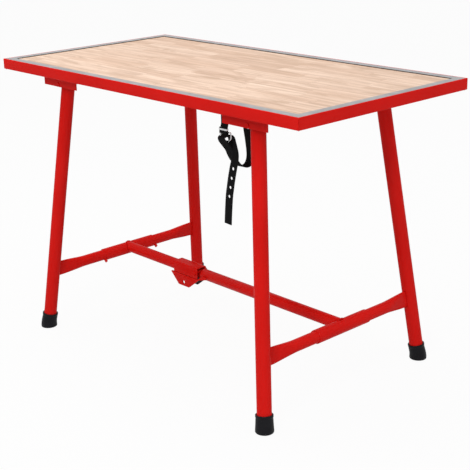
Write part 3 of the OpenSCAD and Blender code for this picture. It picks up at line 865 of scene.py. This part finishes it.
def knee_cheeks():
    """Two five-sided cheeks below the saddle with an ear up to the long tube; a black sheet just inside each
    paints the shade between them.
    """
    hole_x, hole_z, hole_r = SADDLE_X0 + 0.044, CHEEK_BASE + 0.012, 0.005
    hole = [(hole_x + hole_r * math.cos(t), hole_z - hole_r * math.sin(t)) for t in turns(32)]
    lower = [(SADDLE_X0 - 0.015, CHEEK_TOP), (SADDLE_X0 + 0.021, CHEEK_BASE),
             (SADDLE_X0 + 0.067, CHEEK_BASE), (SADDLE_X1 + 0.008, CHEEK_TOP)]
    ear_end = CHEEK_HEEL + 0.014
    ear = [(ear_end, STRUT_Z - 0.008), (ear_end, STRUT_Z),
           (CHEEK_HEEL, STRUT_Z), (SADDLE_X1 + 0.0003, CHEEK_TOP)]
    cheek = rounded(lower + ear, [0.002, 0.003, 0.003, 0.004, 0.002, 0.002, 0.002, 0.001], 6)
    shade_sheet = rounded(lower, [0.002, 0.003, 0.003, 0.002], 6)
    plates("knee_cheek_plates", [cheek, hole], (-CHEEK_Y, CHEEK_Y), CHEEK_THICK, ("knee_cheeks",))
    # black sheets of painted shade on the cheeks' inner faces
    plates("knee_cheek_shade_sheet", [shade_sheet, hole], (-SHADE_SHEET_Y, SHADE_SHEET_Y), SHADE_SHEET_THICK, material="black_steel")


def hook_plate():
    """The plate on the long tube whose open hook takes the knee's bolt."""
    hook = [(LONG_END, HOOK_FOOT), (LONG_END, HOOK_SEAT), (HOOK_TIP, HOOK_SEAT), (HOOK_TIP, HOOK_TOP),
            (HOOK_BACK, HOOK_TOP), (HOOK_BACK, HOOK_FOOT + 0.003), (HOOK_BACK + 0.003, HOOK_FOOT)]
    hook = rounded(hook, [0, 0, 0.002, 0.003, 0.003, 0.002, 0.002], 6)
    plates("hook_plate_steel", [hook], (0.0,), HOOK_THICK, ("hook_plate",))


def knee_cheek_welds():
    bm = bmesh.new()
    for s in (-1, 1):
        straight_bead(bm, (CHEEK_HEEL, s * 0.0164, STRUT_Z + 0.001), (0.0008, 0, 0), 18, 0.0016)
    add_weld("knee_cheek_welds", bm, "right_strut")


# Strap: webbing swept along a route, with its width direction given at each point
STRAP_STEPS = 6


def spline_weights(t):
    """Catmull-Rom weights of four neighbouring points."""
    return (-0.5 * t ** 3 + t ** 2 - 0.5 * t, 1.5 * t ** 3 - 2.5 * t ** 2 + 1,
            -1.5 * t ** 3 + 2 * t ** 2 + 0.5 * t, 0.5 * t ** 3 - 0.5 * t ** 2)


def smooth_route(points):
    """A smooth curve through points that each hold a position and a width direction."""
    last = len(points) - 1
    out = []
    for i in range(last):
        four = [points[max(0, min(last, i + k))] for k in (-1, 0, 1, 2)]
        for s in range(STRAP_STEPS):
            weights = spline_weights(s / STRAP_STEPS)
            out.append([sum(w * p[j] for w, p in zip(weights, four)) for j in range(6)])
    out.append(points[-1])
    return [(Vector(q[:3]), unit(q[3:])) for q in out]


def strap_frames(points):
    """Position, width direction and face normal at each step of a strap's route."""
    route = smooth_route(points)
    last = len(route) - 1
    frames = []
    for i, (p, width) in enumerate(route):
        tangent = unit(route[min(i + 1, last)][0] - route[max(i - 1, 0)][0])
        width = unit(width - tangent * width.dot(tangent))
        frames.append((p, width, tangent.cross(width)))
    return frames


def strap_section():
    """The webbing's outline: flat faces and thin woven edges."""
    edge = [(1.0, 0.0), (0.985, 0.7), (0.94, 1.0), (0.5, 0.96)]
    face = [(-u, v) for u, v in edge] + [(0.0, 0.96)] + edge[:0:-1]
    outline = face + [(-u, -v) for u, v in face]
    return [(u * STRAP_W / 2, v * STRAP_THICK / 2) for u, v in outline]


def ribbon(name, frames):
    """Webbing along a strap's frames; its UV map is in metres, across and along the strap."""
    section = strap_section()
    n = len(section)
    bm = bmesh.new()
    uv = bm.loops.layers.uv.new("weave")
    rings = [[bm.verts.new(p + width * u + normal * v) for u, v in section] for p, width, normal in frames]
    run = [0.0]
    for a, b in zip(frames, frames[1:]):
        run.append(run[-1] + (b[0] - a[0]).length)
    for i in range(len(rings) - 1):
        for k in range(n):
            q = (k + 1) % n
            corners = ((i, k), (i, q), (i + 1, q), (i + 1, k))
            face = bm.faces.new([rings[r][c] for r, c in corners])
            for loop, (r, c) in zip(face.loops, corners):
                loop[uv].uv = (section[c][0], run[r])
    for ring, along in ((rings[0][::-1], run[0]), (rings[-1], run[-1])):
        for loop in bm.faces.new(ring).loops:
            loop[uv].uv = (0, along)
    return add(name, bm, "webbing", "top", angle=60)


def punch(strap, frames):
    """Cuts the round holes of the long strap's tail."""
    reach = 0.006
    tail = frames[len(frames) // 2:]
    bm = bmesh.new()
    for height in HOLE_HEIGHTS:
        p, _, normal = min(tail, key=lambda f: abs(f[0].z - height))
        x, y, z = basis(normal)
        ring_faces(bm, [circle(p + z * side, x, y, HOLE_R, 24) for side in (-reach, reach)])
    bmesh.ops.recalc_face_normals(bm, faces=bm.faces)
    mesh = bpy.data.meshes.new("cut")
    bm.to_mesh(mesh)
    bm.free()
    cutter = bpy.data.objects.new("cut", mesh)
    bpy.context.scene.collection.objects.link(cutter)
    holes = strap.modifiers.new("holes", "BOOLEAN")
    holes.operation = "DIFFERENCE"
    holes.solver = "EXACT"
    holes.object = cutter
    punched = evaluated(strap)
    strap.modifiers.clear()
    strap.data = punched
    bpy.data.objects.remove(cutter)


def short_strap():
    """From under the bracket's roof, down through the keeper, round the ring and back into the keeper."""
    side = [
        (STRAP_WALL + 0.027, STRAP_UNDER), (STRAP_WALL + 0.016, STRAP_UNDER),
        (STRAP_WALL + 0.006, STRAP_UNDER), (STRAP_WALL + 0.001, STRAP_UNDER - 0.003),
        (STRAP_WALL, STRAP_UNDER - 0.012), (STRAP_WALL, 0.752), (STRAP_WALL - 0.0003, 0.744),
        (STRAP_Y + 0.0012, 0.7385), (STRAP_Y + 0.0003, 0.732),
        (STRAP_Y + 0.0016, 0.7275), (STRAP_Y + 0.0026, 0.7235), (STRAP_Y + 0.0012, 0.7206),
        (STRAP_Y - 0.0020, 0.7204), (STRAP_Y - 0.0036, 0.7240), (STRAP_Y - 0.0030, 0.730),
        (STRAP_Y - 0.0026, 0.737)]
    strap = ribbon("strap_short_webbing", strap_frames([(STRAP_X, y, z, 1, 0, 0) for y, z in side]))
    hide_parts("strap_short")


# The long strap's route in millimetres, and the y and z of its width direction, whose x is 1: it hangs in a
# bight, rises in front of the ring, turns back through it and hangs beside the bight
LONG_ROUTE = [
    (307, -156.5, 782.2, 0, 0), (307, -166.5, 782.2, 0, 0), (307, -174.5, 781.8, 0, 0),
    (307, -179.7, 777.2, 0, 0), (307, -180.5, 766, 0, 0), (307, -182.5, 745, 0, 0),
    (307, -184.5, 722, 0, 0), (307.5, -179.5, 692, 0.05, 0), (308, -175.6, 663, 0.1, 0),
    (308, -176, 645, 0.1, 0), (307.5, -181, 632.5, 0.1, 0), (307, -191, 627.2, 0.1, 0),
    (306, -203, 628.5, 0.1, 0), (304.5, -215, 636, 0.1, 0), (303, -226.3, 649.5, 0.05, 0.20),
    (304.5, -236, 665, 0, 0.40), (306, -244.5, 680.8, 0, 0.50), (306.5, -257, 696, 0, 0.45),
    (306.3, -265.5, 705, 0, 0.25), (305.5, -267.5, 711, 0, 0.08), (306, -263.5, 714.7, 0, 0),
    (307.5, -257, 716, 0, 0), (309, -250.5, 716.2, 0, 0), (309.5, -244.5, 714.5, 0, 0),
    (312, -240.5, 707, 0, 0.1), (315, -240, 696, 0, 0.2), (320, -241, 685, 0, 0.25),
    (325.5, -242.6, 672, 0, 0.15), (329.3, -247, 656, 0, 0), (329.4, -252, 640.3, 0, -0.1),
    (325, -254.9, 612.2, 0, -0.15), (321.2, -256.2, 588.7, 0, -0.13), (317.5, -257.1, 565.4, 0, -0.12),
    (314.4, -258, 528, 0, -0.10), (311.9, -258.4, 494, 0, -0.09),
]


def long_strap():
    """When the right trestle folds, its leg passes here. The long strap's webbing along its route, with the
    holes of its tail.
    """
    frames = strap_frames([(x / 1000, y / 1000, z / 1000, 1, wy, wz) for x, y, z, wy, wz in LONG_ROUTE])
    strap = ribbon("strap_long_webbing", frames)
    punch(strap, frames)
    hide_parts("strap_long")
    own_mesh(strap)


def strap_ring():
    """The wire loop that joins the two straps, turned a little on the short one."""
    across = Vector((math.cos(RING_YAW), math.sin(RING_YAW), 0))
    face = Vector((-math.sin(RING_YAW), math.cos(RING_YAW), 0))
    centre = Vector((STRAP_X + 0.0025, STRAP_Y + 0.0028, RING_Z))
    outline = rectangle(-RING_HALF_W, RING_HALF_W, -RING_HALF_H, RING_HALF_H)
    outline = rounded(outline, [0.0085, 0.0085, 0.004, 0.004], 8)
    path = [centre + across * u + Z_AXIS * v for u, v in outline]
    rings = []
    for i, p in enumerate(path):
        along = unit(path[(i + 1) % len(path)] - path[i - 1])
        rings.append(circle(p, along.cross(face), face, RING_WIRE_R, 12))
    bm = bmesh.new()
    ring_faces(bm, rings, closed=True)
    add("strap_ring", bm, "bright_steel", "top", ("strap_buckle",), angle=60)


def strap_keeper():
    """A flat band round the short strap."""
    outside = rounded(rectangle(-0.0142, 0.0142, -0.0048, 0.0024), [0.0012] * 4, 5)
    inside = rounded(rectangle(-0.0132, 0.0132, -0.0040, 0.0016), [0.0008] * 4, 5)
    low, high = KEEPER_Z - KEEPER_HALF_H, KEEPER_Z + KEEPER_HALF_H
    rings = []
    for outline, z in ((outside, low), (outside, high), (inside, high), (inside, low)):
        rings.append([Vector((STRAP_X + u, STRAP_Y + v, z)) for u, v in outline])
    bm = bmesh.new()
    ring_faces(bm, rings, closed=True)
    add("strap_keeper_band", bm, "bright_steel", "top", ("strap_keeper",), bevel=0.0003)


# Assembly
rim_bar("rim_front", 0.0, TOP_L, TOP_W)
rim_bar("rim_back", math.pi, TOP_L, TOP_W)
rim_bar("rim_right", math.pi / 2, TOP_W, TOP_L)
rim_bar("rim_left", -math.pi / 2, TOP_W, TOP_L)
corner_welds()
# painted shade in the step between the steel strips and the wood
painted_shade_line()
for ex, sx in SIDES.items():
    for ey, sy in ENDS.items():
        bracket(f"bracket_{ey}_{ex}", sx, sy)
bracket_welds()

for ex, sx in SIDES.items():
    trestle = ex + "_trestle"
    for ey, sy in ENDS.items():
        leg(f"leg_{ey}_{ex}", trestle, sx, sy)
        foot(f"foot_{ey}_{ex}", trestle, sx, sy)
    brace(f"brace_{ex}", trestle, sx)
    brace_welds(f"brace_{ex}", trestle, sx)
    stop_tabs(f"stop_tabs_{ex}", trestle, sx)

SLEEVES = {"short_sleeve": "left", "long_sleeve": "right"}
for name, ex in SLEEVES.items():
    sleeve(name, ex + "_strut", SIDES[ex])
for name, ex in SLEEVES.items():
    strut_weld(name, ex + "_strut", SIDES[ex])
short_tube()
long_tube()
knee_saddle()
knee_cheeks()
hook_plate()
knee_cheek_welds()

short_strap()
long_strap()
strap_ring()
strap_keeper()

# CAD nodes whose shapes stay get their finish
SLOT_OF = {part["node"]: part["material_slot"] for part in frame["record"]["subparts"]}
for name, ob in frame["nodes"].items():
    if ob.hide_render:
        continue
    finish = MAT[SLOT_OF[name]]
    if not ob.material_slots:
        ob.data.materials.append(finish)
    for slot in ob.material_slots:
        slot.link = "OBJECT"
        slot.material = finish


# Floor, light and camera
def seen_as_backdrop(nt):
    """1 for rays that show the background: to the camera, in metal and through glass."""
    path = node(nt, "LightPath").outputs
    mirrored = math_node(nt, "MAXIMUM", path["Is Glossy Ray"], path["Is Transmission Ray"])
    return math_node(nt, "MAXIMUM", path["Is Camera Ray"], mirrored)


def make_floor():
    """White where it is seen, with a faint shadow, and grey to the light that falls on it."""
    grey, white_share = (0.62, 0.62, 0.62, 1), 0.95
    bpy.ops.mesh.primitive_plane_add(size=60, location=(0, 0, -0.0002))
    floor = bpy.context.object
    floor.name = "floor"
    m = bpy.data.materials.new("floor")
    m.use_nodes = True
    nt = m.node_tree
    nt.nodes.clear()
    diffuse = node(nt, "BsdfDiffuse")
    diffuse.inputs["Color"].default_value = grey
    white = node(nt, "Emission")
    mixer = node(nt, "MixShader")
    link(nt, math_node(nt, "MULTIPLY", seen_as_backdrop(nt), white_share), mixer.inputs[0])
    link(nt, diffuse.outputs[0], mixer.inputs[1])
    link(nt, white.outputs[0], mixer.inputs[2])
    link(nt, mixer.outputs[0], node(nt, "OutputMaterial").inputs[0])
    floor.data.materials.append(m)


def make_world():
    """Lights the bench from overhead and less from the horizon; the background itself is white."""
    world = bpy.data.worlds.new("studio")
    bpy.context.scene.world = world
    world.use_nodes = True
    nt = world.node_tree
    background = nt.nodes["Background"]
    background.inputs["Color"].default_value = (1, 1, 1, 1)
    _, _, height = split_xyz(nt, node(nt, "TexCoord").outputs["Generated"])
    sky = remap(nt, height, 0.07, 0.80, 0.0, 0.9)
    link(nt, math_node(nt, "MAXIMUM", sky, seen_as_backdrop(nt)), background.inputs["Strength"])


def area_lamp(name, at, aim, size, power):
    lamp = bpy.data.lights.new(name, "AREA")
    lamp.shape = "RECTANGLE"
    lamp.size, lamp.size_y = size
    lamp.energy = power
    ob = bpy.data.objects.new(name, lamp)
    ob.location = at
    ob.rotation_euler = (Vector(aim) - Vector(at)).to_track_quat("-Z", "Y").to_euler()
    bpy.context.scene.collection.objects.link(ob)


def make_camera():
    """Placed by its azimuth, elevation and roll about the point that it looks at."""
    right = Vector((math.cos(CAMERA_AZIMUTH), math.sin(CAMERA_AZIMUTH), 0))
    level_back = Vector((right.y, -right.x, 0))
    back = level_back * math.cos(CAMERA_ELEVATION) + Z_AXIS * math.sin(CAMERA_ELEVATION)
    up = back.cross(right)
    c, s = math.cos(CAMERA_ROLL), math.sin(CAMERA_ROLL)
    place = Matrix((c * right + s * up, c * up - s * right, back)).transposed().to_4x4()
    place.translation = CAMERA_TARGET + back * CAMERA_DISTANCE
    data = bpy.data.cameras.new("camera")
    data.sensor_width = SENSOR
    data.lens = SENSOR * FOCAL_PIXELS / FRAME_PIXELS
    data.clip_end = 200
    camera = bpy.data.objects.new("camera", data)
    camera.matrix_world = place
    bpy.context.scene.collection.objects.link(camera)
    bpy.context.scene.camera = camera


make_floor()
make_world()
area_lamp("overhead", (-0.65, -0.2, 3.0), (-0.45, 0, 0.5), (2.2, 2.6), 48)
area_lamp("key", (1.5, -3.2, 2.9), (0, 0, 0.6), (1.2, 1.6), 57)
area_lamp("side", (3.5, 0.4, 2.0), (0, 0, 0.5), (1.4, 1.8), 20)
make_camera()
bpy.context.scene.view_settings.view_transform = "Standard"
